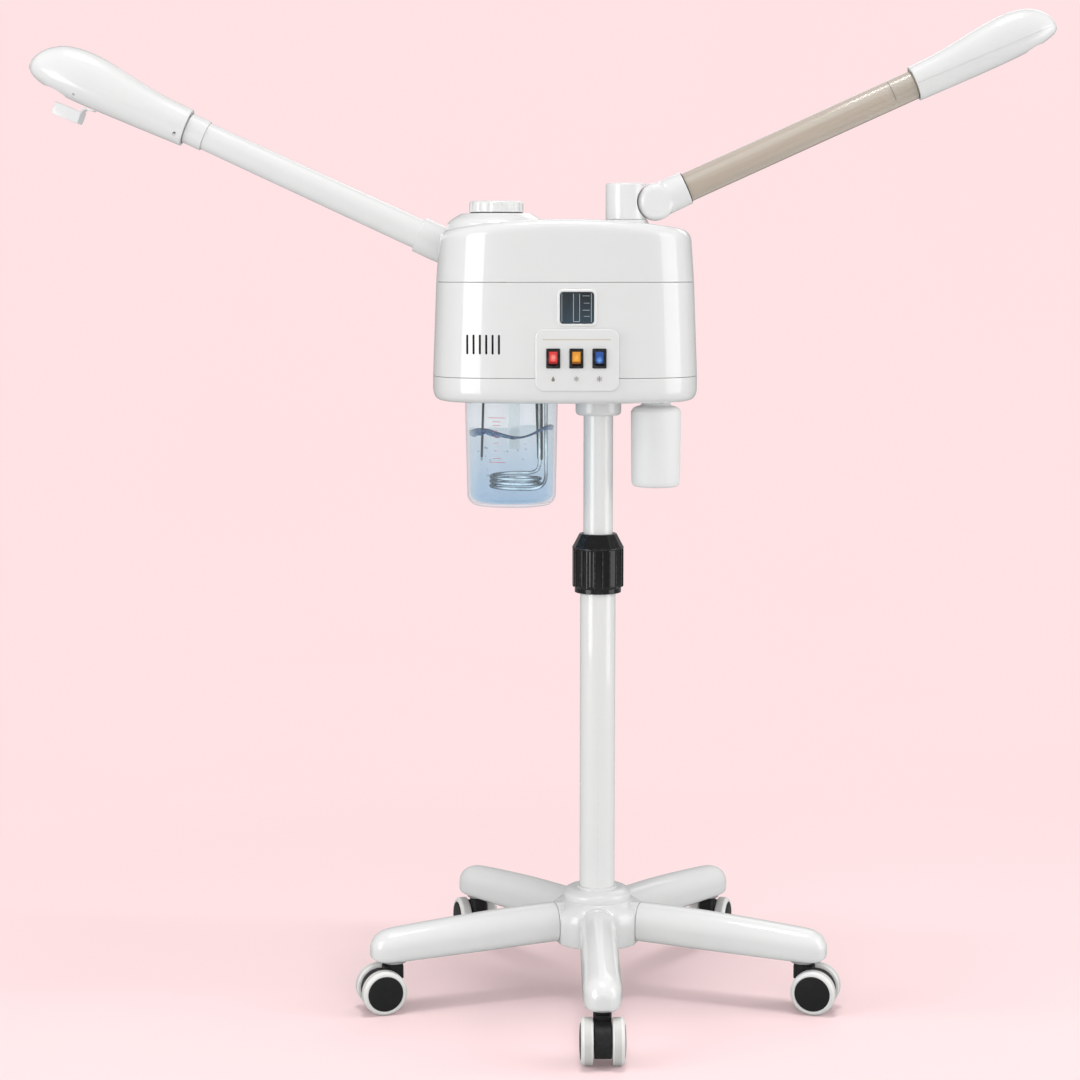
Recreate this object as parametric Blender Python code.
# Two-arm facial steamer on a five-leg caster base.
# The column stands on the Z axis and the controls face -Y. The steam arm reaches out to
# the left (-X) and the mist arm to the right (+X).
# Shapes are worked out in millimetres above the floor. make_piece() converts them to metres
# and puts the scene origin at the centre of the hub's flat underside.
import math

import bmesh
import bpy
from mathutils import Matrix, Vector

for old in list(bpy.data.objects):
    bpy.data.objects.remove(old, do_unlink=True)

# ---------------------------------------------------------------- driving dimensions (mm)
# Pairs are (x, y) places and spans are (low, high).
FINE = 0.46               # share of the full facet count that round pieces get
GAP = 0.3                 # between fitted pieces

# base
HUB_UNDER = 60.0          # hub underside above the floor
HUB_TOP = 119.0
HUB_FLAT_R = 50.0         # each leg butts on a flat of the hub
HUB_CORNER_R = 54.5
LEG_WIDTH = 41.0
LEG_TIP_R = 262.0
STEM_CIRCLE_R = 236.0     # caster stems, from the column axis
WHEEL_R = 24.5
TRAIL = 15.0              # wheel axle behind caster stem

# column
LOWER_R, LOWER_BORE_R = 19.6, 17.0
LOWER_BOTTOM, LOWER_TOP = 75.3, 470.0
UPPER_R, UPPER_BORE_R = 16.3, 13.8
UPPER_BOTTOM, UPPER_TOP = 280.0, 704.0
COLLAR_BOTTOM, COLLAR_TOP = 454.0, 519.6

# head
BODY = (-37.0, 0.0)
BODY_HALF_X, BODY_HALF_Y = 144.0, 100.0
BODY_POWER = 3.2          # superellipse exponent of the plan outline
SEAM_LOW, SEAM_HIGH = 695.0, 796.2
HOUSING_TAPER = 4.0       # loss of half length from seam to seam
CROWN = 862.5
WALL = 2.6
PANEL_X, PANEL_Z = (-69.3, 18.9), (681.8, 747.6)
PANEL_BACK, PANEL_FRONT = -100.4, -103.4
SWITCH_X = {"red": -50.4, "amber": -26.0, "blue": -1.7}
SWITCH_Z = 716.6
ROCKER_Y = -100.6         # rocker pivot
WINDOW_X, WINDOW_Z = (-43.2, -7.4), (752.8, 786.1)
POCKET_X, POCKET_Y, POCKET_Z = -96.0, 20.0, 799.6   # pocket in the rear left of the cover

# boiler and mist parts
JAR = (-95.6, -5.0)
JAR_R, JAR_WALL = 51.2, 3.0
JAR_BOTTOM, JAR_TOP = 552.0, 684.0
CAP = (-111.6, -10.0)     # filler cap, boss and funnel
CAP_R = 29.6
BOILER_HEAD_R, BOILER_HEAD_Z = 57.0, 687.6
STEAM_PORT = (-88.0, 24.0)
ELECTRODE = (-128.6, JAR[1] + 4.0)
PROBE = (-68.4, JAR[1] + 22.0)
COIL_DOWN = (JAR[0] + 38.0, JAR[1])
COIL_UP = (JAR[0] + 31.0, JAR[1] + 13.0)
COIL_CENTRE = (JAR[0] + 4.4, JAR[1])
COIL_R, COIL_PITCH = 27.0, 5.1
COIL_STEPS = 14           # path points per turn
BOTTLE = (63.4, 0.0)
TANK = (60.0, 14.0)
MIST_PORT = (42.0, TANK[1])
FAN = (-14.0, 52.0)
FAN_HUB_Z = 732.6

# arms: "end" is the joint between arm tube and nozzle
LEFT, RIGHT = -1, 1
HOT_TURRET = (-128.0, 64.0)
HOT_PIVOT = (-156.0, HOT_TURRET[1], 828.4)
HOT_END = (-456.6, HOT_TURRET[1], 965.9)
HOT_NOZZLE_DEG = 22.3
HOT_TUBE_R = 16.6
COLD_TURRET = (29.5, 0.0)
COLD_PIVOT = (61.7, COLD_TURRET[1], 882.6)
COLD_END = (340.8, COLD_TURRET[1], 1008.3)
COLD_NOZZLE_DEG = 22.7
COLD_TUBE_R = 15.8
PERCH_TOP = 863.0         # top of the round boss under the mist turret
TONGUE_HALF = 6.0         # half thickness of the turret tongues
TONGUE_R = 8.6
NOZZLE_WALL = 2.2
NOZZLE_SPLIT = 0.15       # each half's distance from the split plane

# ---------------------------------------------------------------- materials
# name: (base colour, roughness, metallic)
MATERIAL_TABLE = {
    "white_gloss": ((0.86, 0.86, 0.86), 0.25, 0.0),
    "white_metal": ((0.84, 0.84, 0.84), 0.3, 0.0),
    "black_gloss": ((0.015, 0.015, 0.016), 0.2, 0.0),
    "black_matte": ((0.02, 0.02, 0.02), 0.6, 0.0),
    "wheel_grey": ((0.75, 0.75, 0.74), 0.5, 0.0),
    "red_lens": ((0.65, 0.03, 0.03), 0.2, 0.0),
    "amber_lens": ((0.8, 0.35, 0.02), 0.2, 0.0),
    "blue_lens": ((0.03, 0.15, 0.6), 0.2, 0.0),
    "dark_glass": ((0.04, 0.06, 0.08), 0.1, 0.0),
    "clear_glass": ((0.85, 0.92, 0.95), 0.03, 0.0),
    "smoked_plastic": ((0.45, 0.38, 0.32), 0.2, 0.0),
    "clear_plastic": ((0.9, 0.93, 0.95), 0.1, 0.0),
    "frosted_plastic": ((0.85, 0.86, 0.87), 0.5, 0.0),
    "steel": ((0.6, 0.6, 0.6), 0.25, 1.0),
    "aluminium": ((0.7, 0.7, 0.7), 0.4, 1.0),
    "silicone": ((0.8, 0.8, 0.78), 0.7, 0.0),
    "board_green": ((0.02, 0.2, 0.08), 0.5, 0.0),
    "grey_plastic": ((0.35, 0.35, 0.36), 0.5, 0.0),
}


def make_material(name, colour, roughness, metallic):
    material = bpy.data.materials.new(name)
    material.use_nodes = True
    shader = next(n for n in material.node_tree.nodes if n.type == "BSDF_PRINCIPLED")
    shader.inputs["Base Color"].default_value = (*colour, 1.0)
    shader.inputs["Roughness"].default_value = roughness
    shader.inputs["Metallic"].default_value = metallic
    material.diffuse_color = (*colour, 1.0)
    return material


MATERIALS = {name: make_material(name, *values) for name, values in MATERIAL_TABLE.items()}

# ---------------------------------------------------------------- placing
IDENTITY = Matrix.Identity(4)
ALONG_X = Matrix.Rotation(math.radians(90), 4, "Y")       # local Z -> world X
ALONG_Y = Matrix.Rotation(math.radians(-90), 4, "X")      # local Z -> world Y
ALONG_MINUS_Y = Matrix.Rotation(math.radians(90), 4, "X")
# an (x, z) outline, with its height along +Y or along -Y
UPRIGHT = Matrix(((1, 0, 0, 0), (0, 0, 1, 0), (0, 1, 0, 0), (0, 0, 0, 1)))
UPRIGHT_MINUS_Y = Matrix(((1, 0, 0, 0), (0, 0, -1, 0), (0, 1, 0, 0), (0, 0, 0, 1)))


def turn_z(degrees, shift=(0, 0)):
    rotation = Matrix.Rotation(math.radians(degrees), 4, "Z")
    return Matrix.Translation(Vector(shift).to_3d()) @ rotation


def moved(shape, matrix):
    points, faces = shape
    return [matrix @ Vector(p) for p in points], faces


# ---------------------------------------------------------------- points and outlines
def around(middle, half):
    return middle - half, middle + half


def grown(span, amount):
    return span[0] - amount, span[1] + amount


def polar(radius, angle, z=0.0, centre=(0, 0)):
    """Point at an angle in radians about a vertical axis."""
    x = centre[0] + radius * math.cos(angle)
    y = centre[1] + radius * math.sin(angle)
    return Vector((x, y, z))


def arc(centre, radius, start, sweep, steps):
    """2D points on an arc, angles in degrees."""
    angles = [math.radians(start + sweep * i / steps) for i in range(steps + 1)]
    return [(centre[0] + radius * math.cos(a), centre[1] + radius * math.sin(a)) for a in angles]


def rounded_rect(x_span, y_span, radius, steps=4):
    left, right = grown(x_span, -radius)
    low, high = grown(y_span, -radius)
    corners = (((right, low), -90), ((right, high), 0), ((left, high), 90), ((left, low), 180))
    return [p for corner, start in corners for p in arc(corner, radius, start, 90, steps)]


def mirrored(half_profile):
    """Completes a (radius, height) profile by its mirror image about height 0."""
    return half_profile + [(r, -z) for r, z in half_profile[::-1]]


def signed_power(value, exponent):
    return math.copysign(abs(value) ** exponent, value)


def super_loop(centre, half_x, half_y, z, power=BODY_POWER, count=36):
    """Level superellipse."""
    loop = []
    for k in range(count):
        angle = 2 * math.pi * k / count
        x = centre[0] + half_x * signed_power(math.cos(angle), 2 / power)
        y = centre[1] + half_y * signed_power(math.sin(angle), 2 / power)
        loop.append(Vector((x, y, z)))
    return loop


def grip_loop(radius, z, count, groove=0.0, centre=(0, 0)):
    """Circle with every third point drawn in by the groove depth."""
    return [polar(radius - (groove if k % 3 == 0 else 0.0), 2 * math.pi * k / count, z, centre)
            for k in range(count)]


# ---------------------------------------------------------------- shapes: (points, faces)
def loft(loops, ring=False, caps=True):
    """Skins loops of equal length; ring joins the last loop back to the first."""
    size = len(loops[0])
    last = len(loops) - 1
    points = [p for loop in loops for p in loop]
    faces = []
    for i in range(last + 1 if ring else last):
        here = i * size
        there = (i + 1) % len(loops) * size
        for k in range(size):
            after = (k + 1) % size
            faces.append((here + k, here + after, there + after, there + k))
    if caps and not ring:
        faces.append(tuple(range(size))[::-1])
        faces.append(tuple(last * size + k for k in range(size)))
    return points, faces


def revolve(profile, count, centre=(0, 0), matrix=IDENTITY, phase=0.0):
    """Turns a closed (radius, height) outline about local Z, one point per row on the axis."""
    points, rows = [], []
    for radius, z in profile:
        on_axis = radius < 1e-6
        row_size = 1 if on_axis else count
        rows.append(list(range(len(points), len(points) + row_size)))
        if on_axis:
            points.append(Vector((0, 0, z)))
        else:
            points += [polar(radius, 2 * math.pi * (k + phase) / count, z) for k in range(count)]
    faces = []
    for row, following in zip(rows, rows[1:] + rows[:1]):
        if len(row) == 1 and len(following) == 1:
            continue
        for k in range(count):
            after = (k + 1) % count
            if len(row) == 1:
                faces.append((row[0], following[after], following[k]))
            elif len(following) == 1:
                faces.append((row[k], row[after], following[0]))
            else:
                faces.append((row[k], row[after], following[after], following[k]))
    shift = Vector(centre).to_3d()
    return [matrix @ p + shift for p in points], faces


def lathe(profile, full_count, centre=(0, 0), matrix=IDENTITY):
    """revolve() with the facet count scaled by FINE and kept even."""
    count = max(10, 2 * round(full_count * FINE / 2))
    return revolve(profile, count, centre, matrix)


def cylinder(radius, low, high, full_count, centre=(0, 0), matrix=IDENTITY):
    return lathe([(0, low), (radius, low), (radius, high), (0, high)], full_count, centre, matrix)


def tube_profile(inner, outer, low, high):
    return [(inner, low), (outer, low), (outer, high), (inner, high)]


def box(x_span, y_span, z_span):
    (left, right), (front, back) = x_span, y_span
    plan = ((left, front), (right, front), (right, back), (left, back))
    points = [Vector((x, y, z)) for z in z_span for x, y in plan]
    faces = [(3, 2, 1, 0), (4, 5, 6, 7), (0, 1, 5, 4), (1, 2, 6, 5), (2, 3, 7, 6), (3, 0, 4, 7)]
    return points, faces


def prism(outline, low, high, matrix=IDENTITY):
    """2D outline drawn out along local Z."""
    return moved(loft([[Vector((x, y, h)) for x, y in outline] for h in (low, high)]), matrix)


def path_rings(path, up_hint, radii, count):
    """For each radius, the loops round a path. Their frame is carried along without twist."""
    path = [Vector(p) for p in path]
    up = Vector(up_hint)
    rings = [[] for _ in radii]
    for i, point in enumerate(path):
        along = (path[min(i + 1, len(path) - 1)] - path[max(i - 1, 0)]).normalized()
        up = (up - along * up.dot(along)).normalized()
        side = along.cross(up)
        angles = [2 * math.pi * k / count for k in range(count)]
        spokes = [math.cos(a) * up + math.sin(a) * side for a in angles]
        for ring, radius in zip(rings, radii):
            ring.append([point + radius * spoke for spoke in spokes])
    return rings


def rod(path, radius, count):
    """Solid round rod with flat ends."""
    return loft(path_rings(path, (0.13, 0.29, 0.95), [radius], count)[0])


def pipe(path, outer, inner, count):
    """Hollow pipe, open at both ends."""
    outside, inside = path_rings(path, (0.13, 0.95, 0.29), [outer, inner], count)
    return loft(outside + inside[::-1], ring=True)


# ---------------------------------------------------------------- solids and objects
def solid_mesh(name, shape, split_polygons=False):
    """Mesh with outward faces; split_polygons triangulates faces of more than four corners."""
    mesh = bpy.data.meshes.new(name)
    mesh.from_pydata([tuple(p) for p in shape[0]], [], shape[1])
    bm = bmesh.new()
    bm.from_mesh(mesh)
    if bm.calc_volume(signed=True) < 0:
        bmesh.ops.reverse_faces(bm, faces=bm.faces[:])
    if split_polygons:
        bmesh.ops.triangulate(bm, faces=[f for f in bm.faces if len(f.verts) > 4])
    bm.to_mesh(mesh)
    bm.free()
    return mesh


def scratch_object(shape):
    obj = bpy.data.objects.new("scratch", solid_mesh("scratch", shape))
    bpy.context.scene.collection.objects.link(obj)
    return obj


def combine(base, *steps):
    """Applies ("-" or "+", shape) steps in order to a base shape."""
    obj = scratch_object(base)
    tools = []
    for sign, shape in steps:
        tool = scratch_object(shape)
        tools.append(tool)
        modifier = obj.modifiers.new("combine", "BOOLEAN")
        modifier.operation = "DIFFERENCE" if sign == "-" else "UNION"
        modifier.solver = "EXACT"
        modifier.object = tool
    graph = bpy.context.evaluated_depsgraph_get()
    graph.update()
    result = bpy.data.meshes.new_from_object(obj.evaluated_get(graph))
    bm = bmesh.new()
    bm.from_mesh(result)
    # weld the slivers that the solver leaves
    bmesh.ops.remove_doubles(bm, verts=bm.verts[:], dist=0.002)
    bmesh.ops.dissolve_degenerate(bm, edges=bm.edges[:], dist=0.002)
    bm.verts.ensure_lookup_table()
    bm.verts.index_update()
    points = [v.co.copy() for v in bm.verts]
    faces = [tuple(v.index for v in f.verts) for f in bm.faces]
    bm.free()
    bpy.data.meshes.remove(result)
    for used in [obj] + tools:
        mesh = used.data
        bpy.data.objects.remove(used, do_unlink=True)
        bpy.data.meshes.remove(mesh)
    return points, faces


def make_piece(name, shape, material, origin=(0, 0, 0), sharp_deg=32):
    """Makes the named object in metres, with its own origin."""
    origin = Vector(origin)
    points = [(Vector(p) - origin) / 1000.0 for p in shape[0]]
    mesh = solid_mesh(name, (points, shape[1]), split_polygons=True)
    for polygon in mesh.polygons:
        polygon.use_smooth = True
    mesh.set_sharp_from_angle(angle=math.radians(sharp_deg))
    mesh.materials.append(MATERIALS[material])
    obj = bpy.data.objects.new(name, mesh)
    obj.location = (origin - Vector((0, 0, HUB_UNDER))) / 1000.0
    bpy.context.scene.collection.objects.link(obj)


# ---------------------------------------------------------------- base hub
# degrees from the middle of a flat, repeated for each of the five sectors
HUB_OFFSETS = (-23.45, -12.0, 0.0, 12.0, 23.45, 29.7, 36.0, 42.3)


def hub_circle(z, radius):
    """Circle with its points at the same angles as the hub outline."""
    return [polar(radius, math.radians(-90.0 + 72.0 * sector + offset), z)
            for sector in range(5) for offset in HUB_OFFSETS]


def hub_loop(z, shrink=0.0, scale=1.0):
    """Five flats joined by rounded corners."""
    loop = []
    for sector in range(5):
        for offset in HUB_OFFSETS:
            from_flat = math.radians(min(abs(offset), 72 - offset))
            radius = min(HUB_CORNER_R, HUB_FLAT_R / math.cos(from_flat)) - shrink
            angle = math.radians(-90.0 + 72.0 * sector + offset)
            loop.append(polar(radius * scale, angle, z))
    return loop


# up the outside, then down the blind bore that takes the lower tube
make_piece("base_hub", loft([
    hub_loop(HUB_UNDER, shrink=2.0), hub_loop(HUB_UNDER + 2.0), hub_loop(98.0),
    hub_loop(104.0, scale=0.9), hub_circle(108.5, 38.0), hub_circle(115.5, 38.0),
    hub_circle(HUB_TOP, 34.0), hub_circle(HUB_TOP, LOWER_R + GAP),
    hub_circle(LOWER_BOTTOM - GAP, LOWER_R + GAP)]), "white_gloss")

# ---------------------------------------------------------------- legs and casters
HALF_LEG = LEG_WIDTH / 2
# (distance from the column axis, top, underside, half width)
LEG_STATIONS = [
    (HUB_FLAT_R + 0.35, 104.5, 63.0, HALF_LEG), (130, 100.8, 59.6, HALF_LEG),
    (232, 91.8, 55.8, HALF_LEG), (246, 89.6, 55.7, HALF_LEG - 1.6),
    (256, 84.6, 56.7, HALF_LEG - 6.2), (LEG_TIP_R, 75.5, 61.4, HALF_LEG - 13.4)]
# leg: (leg direction, caster trail direction) in degrees
LEGS = {"front": (-90.0, -90.0), "front_left": (-162.0, -163.0), "front_right": (-18.0, -17.0),
        "rear_left": (126.0, 107.0), "rear_right": (54.0, 73.0)}


def leg_section(x, top, under, half_width, count=18):
    """Half-round above, soft flat below."""
    middle = under + 0.42 * (top - under)
    loop = []
    for k in range(count):
        angle = 2 * math.pi * (k + 0.5) / count
        cosine, sine = math.cos(angle), math.sin(angle)
        power, height = (2.3, top - middle) if sine > 0 else (4.5, middle - under)
        y = half_width * signed_power(cosine, 2 / power)
        loop.append(Vector((x, y, middle + height * signed_power(sine, 2 / power))))
    return loop


def leg_shape():
    """One leg along local +X, bored for the caster stem."""
    bore = cylinder(5.3, 40, 80.6, 20, (STEM_CIRCLE_R, 0))
    return combine(loft([leg_section(*station) for station in LEG_STATIONS]), ("-", bore))


def fork_shape():
    """Caster body with its stem at the local origin, trailing along local +X."""
    outline = arc((TRAIL, WHEEL_R), 21.0, -38, 188, 12)
    outline += [(-6.5, 20.0), (-3.0, 12.6), (4.0, 11.0), (TRAIL + 15.0, 11.0)]
    stem = lathe([
        (0, 40.0), (9.0, 40.0), (9.6, 41.0), (9.6, 52.6), (8.6, 53.6),
        (5.0, 53.6), (5.0, 79.0), (4.2, 80.0), (0, 80.0)], 24)
    axle_hole = cylinder(3.3, -12, 12, 16, (TRAIL, 0, WHEEL_R), ALONG_MINUS_Y)
    body = prism(outline, -9.0, 9.0, UPRIGHT_MINUS_Y)
    return combine(body, ("+", stem), ("-", axle_hole))


WHEEL_FACETS = 20
# the middle of each tread facet lies on the wheel radius
TREAD_R = WHEEL_R / math.cos(math.pi / WHEEL_FACETS)
# two tyres and their axle as one solid, (radius, distance along the axle)
WHEEL_PROFILE = mirrored([
    (0, -24.0), (22.0, -22.6), (TREAD_R, -18.8), (TREAD_R, -12.0), (22.8, -9.7), (3.0, -9.7)])

LEG = leg_shape()
FORK = fork_shape()
for key, (leg_deg, trail_deg) in LEGS.items():
    foot = polar(STEM_CIRCLE_R, math.radians(leg_deg))
    hub_of_wheel = polar(TRAIL, math.radians(trail_deg), WHEEL_R, foot)
    axle = turn_z(trail_deg, hub_of_wheel) @ ALONG_MINUS_Y
    # half a facet of phase puts one flat tread facet straight down
    wheels = revolve(WHEEL_PROFILE, WHEEL_FACETS, matrix=axle, phase=0.5)
    make_piece("leg_" + key, moved(LEG, turn_z(leg_deg)), "white_gloss")
    make_piece("caster_body_" + key, moved(FORK, turn_z(trail_deg, foot)), "black_matte",
               (foot.x, foot.y, 54.0))
    make_piece("wheel_set_" + key, wheels, "wheel_grey", hub_of_wheel)

# ---------------------------------------------------------------- column
make_piece("lower_tube", lathe(tube_profile(LOWER_BORE_R, LOWER_R, LOWER_BOTTOM, LOWER_TOP), 48),
           "white_metal")
make_piece("upper_tube", lathe(tube_profile(UPPER_BORE_R, UPPER_R, UPPER_BOTTOM, UPPER_TOP), 48),
           "white_metal", (0, 0, UPPER_BOTTOM))

# collet with six slits
COLLET_BOTTOM, COLLET_TOP = LOWER_TOP + GAP, 507
collet = lathe([
    (UPPER_R + GAP, COLLET_BOTTOM), (19.4, COLLET_BOTTOM), (19.4, 500), (18.0, COLLET_TOP),
    (UPPER_R + GAP, COLLET_TOP)], 48)
slit = box((-1.0, 1.0), (10, 30), (482, 520))
slits = [("-", moved(slit, turn_z(60 * i + 30))) for i in range(6)]
make_piece("split_collet", combine(collet, *slits), "grey_plastic")

# (radius, height, groove depth): up the outside, then down the bore
COLLAR_STATIONS = [
    (25.8, COLLAR_BOTTOM, 0), (25.8, 459.4, 0), (28.6, 461.4, 1.6), (28.6, 503.0, 1.6),
    (27.4, 506.0, 0), (20.6, COLLAR_TOP, 0),
    (17.0, COLLAR_TOP, 0), (17.0, 512.0, 0), (20.0, 506.0, 0), (20.0, COLLAR_BOTTOM, 0)]
make_piece("lock_collar", loft([
    grip_loop(radius, z, 60, groove) for radius, z, groove in COLLAR_STATIONS], ring=True),
    "black_gloss", (0, 0, 486))

# socket that joins the head to the column
make_piece("pole_flange", lathe([
    (UPPER_R + GAP, 650.4), (22.2, 650.4), (24.4, 652.2), (25.2, 655.0), (25.2, 667.7),
    (21.0, 667.7), (21.0, 712.0), (19.0, 714.0), (0, 714.0),
    (0, 706.0), (UPPER_R + GAP, 706.0)], 48), "white_gloss")


# ---------------------------------------------------------------- head: base tray
def body_loop(half_x, z, inset):
    """Plan outline of the head, moved inwards."""
    return super_loop(BODY, half_x - inset, BODY_HALF_Y - inset, z)


# (inset, height): up the outside, then down the inside
TRAY_STATIONS = [
    (13.0, 668.0), (6.0, 669.4), (1.8, 673.4), (0.0, 680.5), (0.0, SEAM_LOW),
    (WALL, SEAM_LOW), (WALL, 681.5), (2.2 + WALL, 675.0), (8.5 + WALL, 670.8)]
# the boiler seat is added, then the jar, column and bottle openings are cut
make_piece("base_tray", combine(
    loft([body_loop(BODY_HALF_X, z, inset) for inset, z in TRAY_STATIONS]),
    ("+", cylinder(BOILER_HEAD_R, 669.4, BOILER_HEAD_Z - GAP, 48, JAR)),
    ("-", cylinder(JAR_R + 1.6, 650, 700, 48, JAR)),
    ("-", cylinder(21.6, 650, 700, 40)),
    ("-", cylinder(18.0, 650, 700, 32, BOTTLE))), "white_gloss")


# ---------------------------------------------------------------- head: middle shell
def housing_loop(z, inset):
    taper = HOUSING_TAPER * (z - SEAM_LOW) / (SEAM_HIGH - SEAM_LOW)
    return body_loop(BODY_HALF_X - taper, z, inset)


def switch_box(x, half_x, half_z, y_span):
    return box(around(x, half_x), y_span, around(SWITCH_Z, half_z))


def housing_shape():
    bottom, top = SEAM_LOW + GAP, SEAM_HIGH - 0.15
    shell = loft([
        housing_loop(bottom, 0), housing_loop(top, 0),
        housing_loop(top, WALL), housing_loop(bottom, WALL)], ring=True)
    window_frame = rounded_rect(grown(WINDOW_X, 2.8), grown(WINDOW_Z, 2.8), 5.6)
    steps = [("+", prism(window_frame, -101.4, -98.2, UPRIGHT)),
             ("-", prism(rounded_rect(WINDOW_X, WINDOW_Z, 3.4), -110, -90, UPRIGHT))]
    for x in SWITCH_X.values():
        steps.append(("-", switch_box(x, 7.2, 10.2, (-110, -90))))
    # slots at the left of the front
    for i in range(6):
        x = -142.4 + 6.75 * i
        steps.append(("-", box((x, x + 2.2), (-115, -60), (720.4, 741.2))))
    # slots in the back
    for i in range(9):
        x = -28 + 9.0 * i
        steps.append(("-", box((x, x + 3.0), (80, 110), (728.0, 756.0))))
    # opening for the power inlet
    steps.append(("-", box((-94.0, -66.0), (80, 110), (704.8, 725.2))))
    return combine(shell, *steps)


make_piece("main_housing", housing_shape(), "white_gloss")
make_piece("level_window", prism(
    rounded_rect(grown(WINDOW_X, -GAP), grown(WINDOW_Z, -GAP), 3.2), -99.8, -97.0, UPRIGHT),
    "dark_glass")


# ---------------------------------------------------------------- head: panel and switches
def plate_loop(x_span, z_span, y, inset, radius, steps):
    """Upright rounded rectangle, facing along Y."""
    outline = rounded_rect(grown(x_span, -inset), grown(z_span, -inset), radius, steps)
    return [Vector((x, y, z)) for x, z in outline]


# (y, inset), back to front with a softened edge
PANEL_STATIONS = [(PANEL_BACK, 0.0), (PANEL_FRONT + 1.0, 0.0), (PANEL_FRONT + 0.3, 0.35),
                  (PANEL_FRONT, 1.1)]
panel = loft([plate_loop(PANEL_X, PANEL_Z, y, inset, 9.0 - inset, 5)
              for y, inset in PANEL_STATIONS])
openings = [("-", switch_box(x, 6.8, 9.8, (-110, -95))) for x in SWITCH_X.values()]
make_piece("control_panel", combine(panel, *openings), "white_gloss")

BEZEL_STATIONS = [(PANEL_FRONT - GAP, 0.0), (-105.0, 0.0), (-105.6, 0.6)]
# rocker side view about its pivot, (outward, up), dished between its two pads
ROCKER_PROFILE = [(5.3, 7.4), (3.9, 0.0), (5.3, -7.4), (1.0, -7.4), (-4.2, -3.0), (-4.2, 3.0),
                  (1.0, 7.4)]
ROCKER_TILT = math.radians(9.0)


def switch_frame(x):
    bezel = loft([plate_loop(around(x, 7.5), around(SWITCH_Z, 10.5), y, inset, 1.2, 3)
                  for y, inset in BEZEL_STATIONS])
    return combine(
        bezel,
        ("+", switch_box(x, 6.5, 9.5, (-104.4, -88.0))),
        ("-", switch_box(x, 5.3, 8.4, (-110.0, -91.0))),
        ("-", cylinder(1.5, -6.2, 6.2, 16, (x, ROCKER_Y, SWITCH_Z), ALONG_X)))


def rocker_shape(x):
    cosine, sine = math.cos(ROCKER_TILT), math.sin(ROCKER_TILT)
    tilted = [(out * cosine - up * sine, out * sine + up * cosine) for out, up in ROCKER_PROFILE]
    body = loft([[Vector((x + side, ROCKER_Y - out, SWITCH_Z + up)) for out, up in tilted]
                 for side in (-5.0, 5.0)])
    pin = cylinder(1.2, -5.9, 5.9, 16, (x, ROCKER_Y, SWITCH_Z), ALONG_X)
    return combine(body, ("+", pin))


for colour, switch_x in SWITCH_X.items():
    make_piece("switch_frame_" + colour, switch_frame(switch_x), "black_gloss")
    make_piece("rocker_" + colour, rocker_shape(switch_x), colour + "_lens",
               (switch_x, ROCKER_Y, SWITCH_Z), sharp_deg=20)

# ---------------------------------------------------------------- head: top cover and cap
# (inset, depth below the crown arch), from the wall over the edge to the crown
COVER_STATIONS = [(0.0, 13.0), (1.2, 7.0), (4.6, 2.6), (10.5, 0.5), (34.0, 0.0), (66.0, 0.0)]


def dome(inset, drop, rim_z):
    """Closed cover form, moved inwards by inset and down by drop, with its rim at rim_z."""
    loops = [body_loop(140.0, rim_z, inset)]
    for station_inset, depth in COVER_STATIONS:
        loop = body_loop(137.0, 0.0, station_inset + inset)
        for p in loop:
            p.z = CROWN - 0.00060 * (p.x - BODY[0]) ** 2 - depth - drop
        loops.append(loop)
    points, faces = loft(loops, caps=False)
    size = len(loops[0])
    apex = len(points)
    points.append(Vector((*BODY, CROWN - drop)))
    last = apex - size
    faces += [(last + k, last + (k + 1) % size, apex) for k in range(size)]
    faces.append(tuple(range(size))[::-1])
    return points, faces


def cover_shape():
    # the hollow stays one wall away from the pocket
    cavity = combine(
        dome(WALL, WALL, SEAM_HIGH - 4.0),
        ("-", box((-300, POCKET_X + WALL), (POCKET_Y - WALL, 300), (780.0, 900.0))))
    filler_boss = lathe([
        (0, 848), (52.0, 848), (52.0, 861.0), (45.5, 865.6), (40.0, 869.0), (37.0, 869.6),
        (0, 869.6)], 44, CAP)
    return combine(
        dome(0.0, 0.0, SEAM_HIGH + 0.15),
        ("+", filler_boss),
        ("+", cylinder(23.5, 848.0, PERCH_TOP, 44, COLD_TURRET)),
        ("-", cavity),
        ("-", box((-300, POCKET_X), (POCKET_Y, 300), (POCKET_Z, 900.0))),
        ("-", cylinder(23.0, 820, 900, 36, CAP)),
        ("-", cylinder(13.5, 780, 900, 28, HOT_TURRET)),
        ("-", cylinder(13.5, 830, 900, 28, COLD_TURRET)))


make_piece("top_cover", cover_shape(), "white_gloss")

# (radius, height, groove depth)
CAP_STATIONS = [(22.4, 856.0, 0), (22.4, 870.3, 0), (29.0, 870.3, 0), (CAP_R, 871.2, 0.9),
                (CAP_R, 880.8, 0.9), (27.6, 883.0, 0)]
make_piece("filler_cap", loft([
    grip_loop(radius, z, 42, groove, CAP) for radius, z, groove in CAP_STATIONS]),
    "white_gloss", (*CAP, 870.0))

# ---------------------------------------------------------------- boiler
make_piece("jar_gasket", lathe(tube_profile(45.6, 51.0, JAR_TOP + GAP, 687.2), 40, JAR),
           "silicone")

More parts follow.
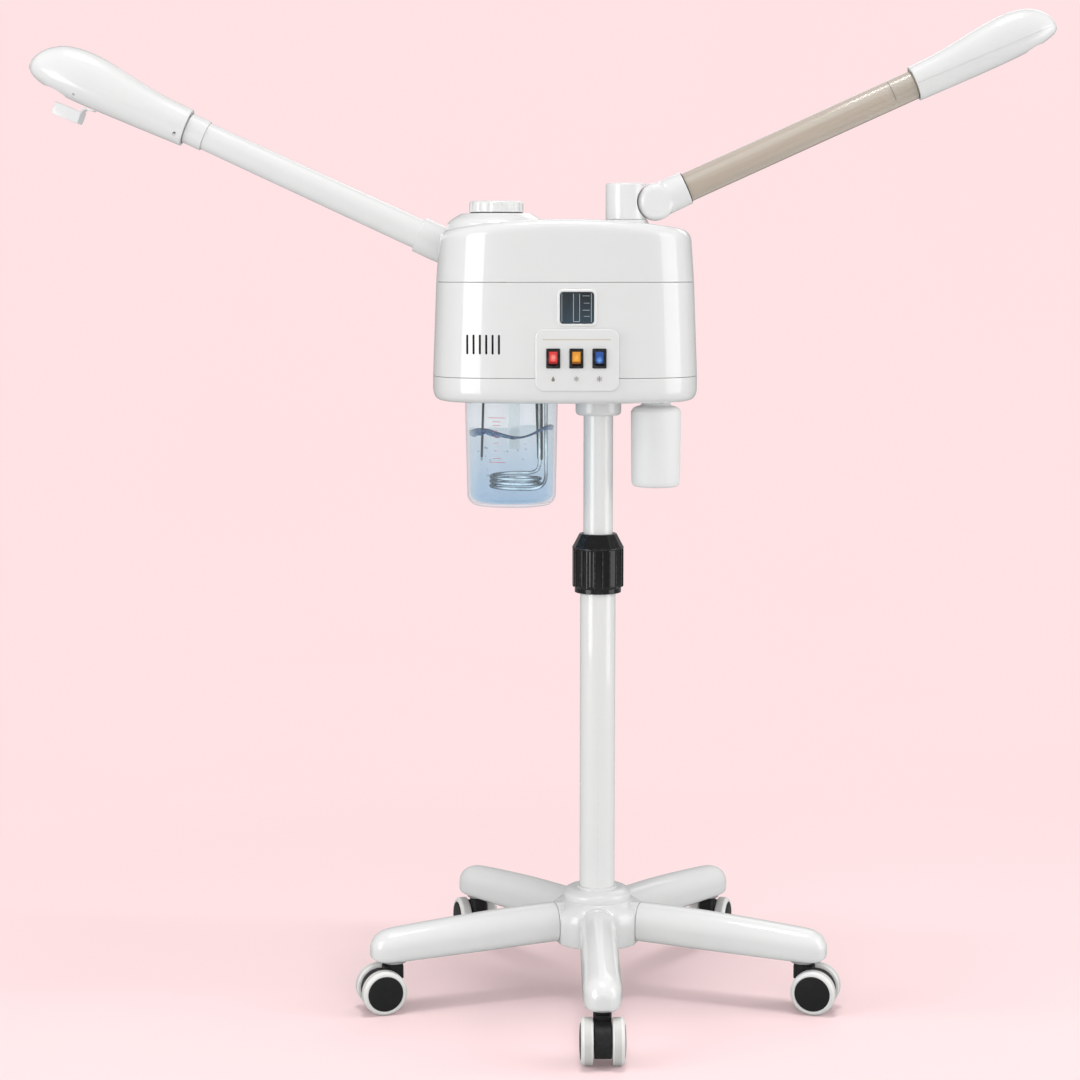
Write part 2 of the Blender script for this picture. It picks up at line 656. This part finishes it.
# (place, radius) of the holes through the boiler head
BOILER_HOLES = [(CAP, 11.9, 24), (STEAM_PORT, 9.7, 24), (ELECTRODE, 1.8, 14), (PROBE, 2.5, 14),
                (COIL_DOWN, 2.4, 14)]      # third column: full facet count
boiler_head = lathe([
    (0, BOILER_HEAD_Z), (BOILER_HEAD_R, BOILER_HEAD_Z), (BOILER_HEAD_R, 692.0), (50.0, 694.0),
    (46.0, 703.0), (43.0, 705.6), (0, 705.6)], 44, JAR)
boiler_holes = [("-", cylinder(radius, 680, 710, count, place))
                for place, radius, count in BOILER_HOLES]
make_piece("boiler_head", combine(boiler_head, *boiler_holes), "aluminium")

make_piece("filler_funnel", lathe([
    (8.6, 690.0), (11.0, 690.0), (11.0, 838.0), (20.5, 850.0), (20.5, 855.4), (18.6, 855.4),
    (18.6, 850.8), (8.6, 838.8)], 28, CAP), "grey_plastic")

STEAM_PATH = [
    (*STEAM_PORT, 690.0), (*STEAM_PORT, 712.0), (STEAM_PORT[0] - 2, STEAM_PORT[1] + 2.5, 724.0),
    (-94.0, 31.0, 736.0), (-108.0, 46.0, 754.0), (-120.0, 58.0, 768.0), (-126.6, 63.0, 778.0),
    (*HOT_TURRET, 788.0), (*HOT_TURRET, 796.0)]
make_piece("steam_duct", pipe(STEAM_PATH, outer=9.0, inner=7.0, count=10), "silicone")

make_piece("glass_jar", lathe([
    (0, JAR_BOTTOM), (38.0, JAR_BOTTOM), (45.0, JAR_BOTTOM + 3.2), (48.8, JAR_BOTTOM + 12.0),
    (50.4, 640.0), (JAR_R, JAR_TOP), (JAR_R - JAR_WALL, JAR_TOP), (50.4 - JAR_WALL, 640.0),
    (48.8 - JAR_WALL, JAR_BOTTOM + 12.6), (42.6, JAR_BOTTOM + 6.0), (37.6, JAR_BOTTOM + 3.4),
    (0, JAR_BOTTOM + 3.4)], 56, JAR), "clear_glass", (*JAR, JAR_TOP))


def from_jar(*offsets):
    """Places given as (x, y) from the jar axis and z above the floor."""
    return [(JAR[0] + x, JAR[1] + y, z) for x, y, z in offsets]


def coil_path():
    """Runs down one leg, winds upwards in close turns, and comes up beside the first leg."""
    path = [(*COIL_DOWN, z) for z in (704.0, 640.0, 598.0, 590.0)]
    path += from_jar((38.0, -3.5, 584.0), (36.0, -10.5, 577.2), (31.0, -17.5, 573.0))
    for i in range(int(2.722 * COIL_STEPS) + 1):
        angle = math.radians(-48.0) - 2 * math.pi * i / COIL_STEPS
        path.append(polar(COIL_R, angle, 571.2 + COIL_PITCH * i / COIL_STEPS, COIL_CENTRE))
    path += from_jar((27.4, 16.4, 588.0), (30.4, 13.8, 593.5))
    return path + [(*COIL_UP, z) for z in (602.0, 640.0, 687.2)]


make_piece("heating_coil", rod(coil_path(), radius=2.0, count=6), "steel")
make_piece("level_electrode", lathe([
    (0, 600.0), (1.1, 600.4), (1.35, 601.4), (1.35, 708.0), (0, 708.0)], 12, ELECTRODE), "steel")
make_piece("thermostat_probe", lathe([
    (0, 599.0), (1.6, 600.0), (2.2, 602.0), (2.2, 708.0), (0, 708.0)], 12, PROBE), "black_matte")


# ---------------------------------------------------------------- arms
def arm_matrix(pivot, degrees, side):
    """Local X runs out along the arm and local Z is up across it."""
    angle = math.radians(degrees)
    along = Vector((side * math.cos(angle), 0, math.sin(angle)))
    upward = Vector((-side * math.sin(angle), 0, math.cos(angle)))
    columns = (along, upward.cross(along), upward, pivot)
    return Matrix([[column[row] for column in columns] for row in range(3)] + [[0, 0, 0, 1]])


def arm_slope(pivot, end):
    return math.degrees(math.atan2(end[2] - pivot[2], abs(end[0] - pivot[0])))


def arm_length(pivot, end):
    return (Vector(end) - Vector(pivot)).length


def turret(name, centre, bottom, top, pivot, radius, recess_r, neck_bottom):
    """Round post with a recess for the elbow drum, and a tongue and pin at the pivot."""
    body = lathe([
        (0, bottom), (radius, bottom), (radius, top - 2.0), (radius - 0.6, top - 0.6),
        (radius - 2.0, top), (0, top)], 44, centre)
    outward = 1 if pivot[0] > centre[0] else -1
    tongue = [(centre[0], z) for z in around(pivot[2], TONGUE_R)]
    tongue += arc((pivot[0], pivot[2]), TONGUE_R, 90, -180 * outward, 14)
    pin_half = TONGUE_HALF + 7.0
    shape = combine(
        body,
        ("-", cylinder(recess_r, -40, 40, 40, pivot, ALONG_Y)),
        ("+", prism(tongue, *around(centre[1], TONGUE_HALF), UPRIGHT)),
        ("+", cylinder(12.6, neck_bottom, bottom + 1.0, 28, centre)),
        ("+", cylinder(3.0, -pin_half, pin_half, 18, pivot, ALONG_Y)),
        ("-", cylinder(6.6, neck_bottom - 2.0, bottom + 6.0, 20, centre)))
    make_piece(name, shape, "white_gloss", (*centre, bottom))


# (along, up) outline of the room for the tongue over the whole tilt range
TILT_ROOM = [(8.7, 3.6), (-6.3, 40.6), (-45.0, 40.0), (-36.9, -19.0), (2.1, -9.3)]


def elbow(name, matrix, pivot, drum_r, half_width, socket_r, socket_end, tube_r):
    """Rounded drum that straddles the turret's tongue, with a socket for the arm tube."""
    edge = 5.0
    profile = [(0, -half_width)]
    profile += arc((drum_r - edge, edge - half_width), edge, -90, 90, 2)
    drum = lathe(mirrored(profile), 44, matrix=ALONG_Y)
    socket = lathe([
        (0, 2.0), (drum_r - 1.6, 2.0), (socket_r + 0.3, 24.0), (socket_r, socket_end - 1.0),
        (socket_r - 0.8, socket_end), (0, socket_end)], 40, matrix=ALONG_X)
    slot_half = TONGUE_HALF + 0.5
    slot = combine(
        cylinder(9.4, -slot_half, slot_half, 28, matrix=ALONG_Y),
        ("+", prism(TILT_ROOM, -slot_half, slot_half, UPRIGHT)))
    pin_half = TONGUE_HALF + 7.6
    shape = combine(
        drum,
        ("+", socket),
        ("-", cylinder(tube_r + GAP, drum_r + 3.0, socket_end + 5.0, 40, matrix=ALONG_X)),
        ("-", slot),
        ("-", cylinder(3.3, -pin_half, pin_half, 18, matrix=ALONG_Y)),
        ("-", cylinder(5.5, 0.0, drum_r + 6.0, 18, matrix=ALONG_X)))
    make_piece(name, moved(shape, matrix), "white_gloss", pivot)


def arm_tube(name, matrix, pivot, profile, material):
    """Tube with a thinner spigot at the nozzle end; profile is (radius, distance from pivot)."""
    make_piece(name, moved(lathe(profile, 44, matrix=ALONG_X), matrix), material, pivot)


# steam arm, left
turret("hot_turret", HOT_TURRET, bottom=800.0, top=846.0, pivot=HOT_PIVOT, radius=19.0,
       recess_r=21.4, neck_bottom=797.2)
HOT_DEG = arm_slope(HOT_PIVOT, HOT_END)
hot_arm = arm_matrix(HOT_PIVOT, HOT_DEG, LEFT)
elbow("hot_elbow", hot_arm, HOT_PIVOT, drum_r=20.6, half_width=19.0, socket_r=20.0,
      socket_end=47.7, tube_r=HOT_TUBE_R)
hot_len = arm_length(HOT_PIVOT, HOT_END)
arm_tube("hot_arm_tube", hot_arm, HOT_PIVOT, [
    (13.4, 24.2), (HOT_TUBE_R, 24.2), (HOT_TUBE_R, 60.0), (15.4, hot_len - 22.4),
    (17.0, hot_len - 22.4), (17.0, hot_len - 1.2), (13.2, hot_len - 1.2), (13.2, hot_len + 8.0),
    (11.4, hot_len + 8.0), (11.4, hot_len - 24.0), (13.4, 60.0)], "white_gloss")

# mist arm, right
turret("cold_turret", COLD_TURRET, bottom=PERCH_TOP + GAP, top=902.4, pivot=COLD_PIVOT,
       radius=22.2, recess_r=21.3, neck_bottom=850.0)
COLD_DEG = arm_slope(COLD_PIVOT, COLD_END)
cold_arm = arm_matrix(COLD_PIVOT, COLD_DEG, RIGHT)
elbow("cold_elbow", cold_arm, COLD_PIVOT, drum_r=20.4, half_width=19.5, socket_r=18.2,
      socket_end=36.0, tube_r=COLD_TUBE_R)
cold_len = arm_length(COLD_PIVOT, COLD_END)
arm_tube("cold_arm_tube", cold_arm, COLD_PIVOT, [
    (13.4, 25.0), (COLD_TUBE_R, 25.0), (COLD_TUBE_R, cold_len - 1.5), (13.4, cold_len - 1.5),
    (13.2, cold_len - 1.5), (13.2, cold_len + 10.0), (11.4, cold_len + 10.0),
    (11.4, cold_len - 6.0), (13.4, cold_len - 8.0)], "smoked_plastic")

# ---------------------------------------------------------------- nozzles
# (distance from the arm end, top, bottom, half width)
HOT_STATIONS = [
    (0, 19.8, -19.7, 19.8), (38, 20.9, -21.0, 20.8), (74, 27.9, -21.3, 24.4),
    (104, 34.0, -21.2, 27.0), (130, 36.2, -20.6, 28.0), (154, 33.0, -18.6, 26.6),
    (169, 25.6, -15.4, 22.8), (179, 16.6, -11.4, 16.6), (185.4, 5.6, -5.6, 6.6)]
COLD_STATIONS = [
    (0, 19.6, -18.4, 19.0), (26, 21.1, -18.2, 19.4), (50, 23.8, -17.9, 20.6),
    (77, 28.2, -17.6, 22.4), (108, 31.8, -16.6, 23.6), (130, 30.8, -15.0, 22.8),
    (146, 25.6, -12.4, 19.6), (158, 15.6, -8.8, 13.2), (163.4, 5.0, -4.4, 5.2)]


def nozzle_half(stations, sign, steps=8):
    """Upper (sign 1) or lower (sign -1) half shell of a bulb-headed nozzle."""
    loops = []
    for i, (along, top, bottom, half_width) in enumerate(stations):
        height = top if sign > 0 else -bottom
        wall, setback = NOZZLE_WALL, 0.0
        # the last two stations close over the tip
        if i >= len(stations) - 2:
            wall = min(wall, 0.62 * min(height, half_width))
            setback = wall * 0.8
        loop = []
        for inset, back, order in ((0.0, 0.0, range(steps + 1)),
                                   (wall, setback, range(steps, -1, -1))):
            for k in order:
                angle = math.pi * k / steps
                y = (half_width - inset) * math.cos(angle)
                z = sign * NOZZLE_SPLIT + sign * (height - inset) * math.sin(angle)
                loop.append(Vector((along - back, y, z)))
        loops.append(loop)
    return loft(loops)


def nozzle(tag, end, degrees, side, stations, outlet_x, outlet_r, arm_deg):
    """Makes both halves, with an outlet under the bulb, and returns the nozzle's matrix."""
    matrix = arm_matrix(end, degrees, side)
    # inner ring round the arm tube's spigot, square to the steeper arm
    square_to_arm = matrix.inverted() @ arm_matrix(end, arm_deg, side)
    ring = lathe(tube_profile(13.7, stations[0][3] - 1.3, 1.4, 7.0), 36,
                 matrix=square_to_arm @ ALONG_X)
    wide = (-50, 50)
    lower_ring = combine(ring, ("-", box(wide, wide, (-NOZZLE_SPLIT, 50))))
    upper_ring = combine(ring, ("-", box(wide, wide, (-50, NOZZLE_SPLIT))))
    outlet = cylinder(outlet_r, -60, -6.0, 32, (outlet_x, 0))
    lower = combine(nozzle_half(stations, -1), ("+", lower_ring), ("-", outlet))
    upper = combine(nozzle_half(stations, 1), ("+", upper_ring))
    make_piece(tag + "_nozzle_upper", moved(upper, matrix), "white_gloss", end)
    make_piece(tag + "_nozzle_lower", moved(lower, matrix), "white_gloss", end)
    return matrix


hot_nozzle = nozzle("hot", HOT_END, HOT_NOZZLE_DEG, LEFT, HOT_STATIONS, outlet_x=150.0,
                    outlet_r=14.0, arm_deg=HOT_DEG)
nozzle("cold", COLD_END, COLD_NOZZLE_DEG, RIGHT, COLD_STATIONS, outlet_x=134.0,
       outlet_r=10.0, arm_deg=COLD_DEG)

# open tray under the steam nozzle, in the nozzle's frame: floor, then four walls
AROMA_X, AROMA_Y, AROMA_Z = (112.0, 143.0), (-15.0, 15.0), (-42.0, -28.5)
aroma_tray = combine(
    box(AROMA_X, AROMA_Y, (-42.0, -39.6)),
    ("+", box((112.0, 114.6), AROMA_Y, (-42.0, -22.8))),
    ("+", box((140.8, 143.0), AROMA_Y, AROMA_Z)),
    ("+", box(AROMA_X, (-15.0, -12.8), AROMA_Z)),
    ("+", box(AROMA_X, (12.8, 15.0), AROMA_Z)))
make_piece("aroma_tray", moved(aroma_tray, hot_nozzle), "clear_plastic",
           hot_nozzle @ Vector((113.0, 0, -23.0)))

# ---------------------------------------------------------------- cold mist side
make_piece("cold_bottle", lathe([
    (0, 571.6), (21.6, 571.6), (25.6, 574.0), (26.8, 580.0), (27.6, 652.0), (25.4, 658.0),
    (15.6, 661.4), (15.6, 683.0), (13.6, 683.0), (13.6, 659.6), (23.8, 656.0), (25.6, 651.4),
    (24.8, 580.6), (21.0, 574.0), (0, 574.0)], 44, BOTTLE), "frosted_plastic", (*BOTTLE, 683.0))

# (half x, half y, height)
TANK_OUTSIDE = [(33.0, 45.0, 690.0), (34.0, 46.0, 692.0), (34.0, 46.0, 768.0), (30.0, 42.0, 774.0)]
TANK_INSIDE = [(27.6, 39.6, 771.4), (31.6, 43.6, 766.6), (31.6, 43.6, 692.6)]
tank_outside, tank_inside = [
    loft([super_loop(TANK, *station, power=2.6, count=24) for station in stations])
    for stations in (TANK_OUTSIDE, TANK_INSIDE)]
make_piece("mist_tank", combine(
    tank_outside,
    ("-", tank_inside),
    ("-", cylinder(9.4, 760, 790, 24, MIST_PORT)),
    ("-", cylinder(9.0, 680, 700, 24, BOTTLE))), "frosted_plastic")

MIST_PATH = [
    (*MIST_PORT, 769.0), (*MIST_PORT, 790.0), (41.0, 13.0, 804.0), (36.0, 7.0, 822.0),
    (31.0, 1.6, 836.0), (*COLD_TURRET, 843.0), (*COLD_TURRET, 849.4)]
make_piece("mist_duct", pipe(MIST_PATH, outer=9.0, inner=7.0, count=10), "silicone")
make_piece("ultrasonic_disc", lathe([
    (0, 682.4), (10.0, 682.4), (11.0, 683.4), (11.0, 689.6), (0, 689.6)], 28, (60.0, 44.0)),
    "steel")

# ---------------------------------------------------------------- fan
# square frame with a round well, four floor openings and a centre pin
floor_opening = box((11.0, 24.0), (-7.0, 7.0), (720, 730))
make_piece("fan_frame", combine(
    prism(rounded_rect(around(FAN[0], 28), around(FAN[1], 28), 3.0), 722.0, 742.0),
    ("-", cylinder(25.4, 725.0, 745.0, 40, FAN)),
    *[("-", moved(floor_opening, turn_z(45 + 90 * i, FAN))) for i in range(4)],
    ("+", cylinder(2.0, 724.0, 734.0, 16, FAN))), "black_matte")

fan_hub = lathe([
    (2.3, 725.6), (11.0, 725.6), (11.0, 738.4), (9.4, 740.0), (0, 740.0), (0, 734.6),
    (2.3, 734.6)], 32, FAN)
blade = box((8.0, 23.8), (-6.0, 6.0), (-0.7, 0.7))
blade_pitch = Matrix.Rotation(math.radians(32), 4, "X")
blades = [("+", moved(blade, turn_z(360.0 * i / 7, (*FAN, FAN_HUB_Z)) @ blade_pitch))
          for i in range(7)]
make_piece("fan_impeller", combine(fan_hub, *blades), "grey_plastic", (*FAN, FAN_HUB_Z))

# ---------------------------------------------------------------- electrics
# board with three blocks and two round parts on its back face
PART_FRONT = -80.9        # parts sink slightly into the board
make_piece("circuit_board", combine(
    box((-74.0, 22.0), (-82.0, -80.4), (700.0, 752.0)),
    ("+", box((-70.0, -52.0), (PART_FRONT, -70.0), (728.0, 746.0))),
    ("+", box((-44.0, -32.0), (PART_FRONT, -74.0), (704.0, 714.0))),
    ("+", box((-20.0, 4.0), (PART_FRONT, -68.0), (726.0, 748.0))),
    *[("+", cylinder(5.0, PART_FRONT, -66.0, 20, (x, 0, z), ALONG_Y))
      for x, z in ((12.0, 716.0), (-2.0, 712.0))]), "board_green")

# flanged socket in the back of the housing, with three pins
make_piece("power_inlet", combine(
    prism(rounded_rect((-97.0, -63.0), (701.8, 728.2), 3.0), 100.4, 102.4, UPRIGHT),
    ("+", box((-93.6, -66.4), (76.0, 101.0), (705.2, 724.8))),
    ("-", box((-90.8, -69.2), (82.0, 110.0), (708.0, 722.0))),
    *[("+", box(around(x, 1.0), (80.0, 98.0), (713.0, 717.0))) for x in (-86.0, -80.0, -74.0)]),
    "black_matte")
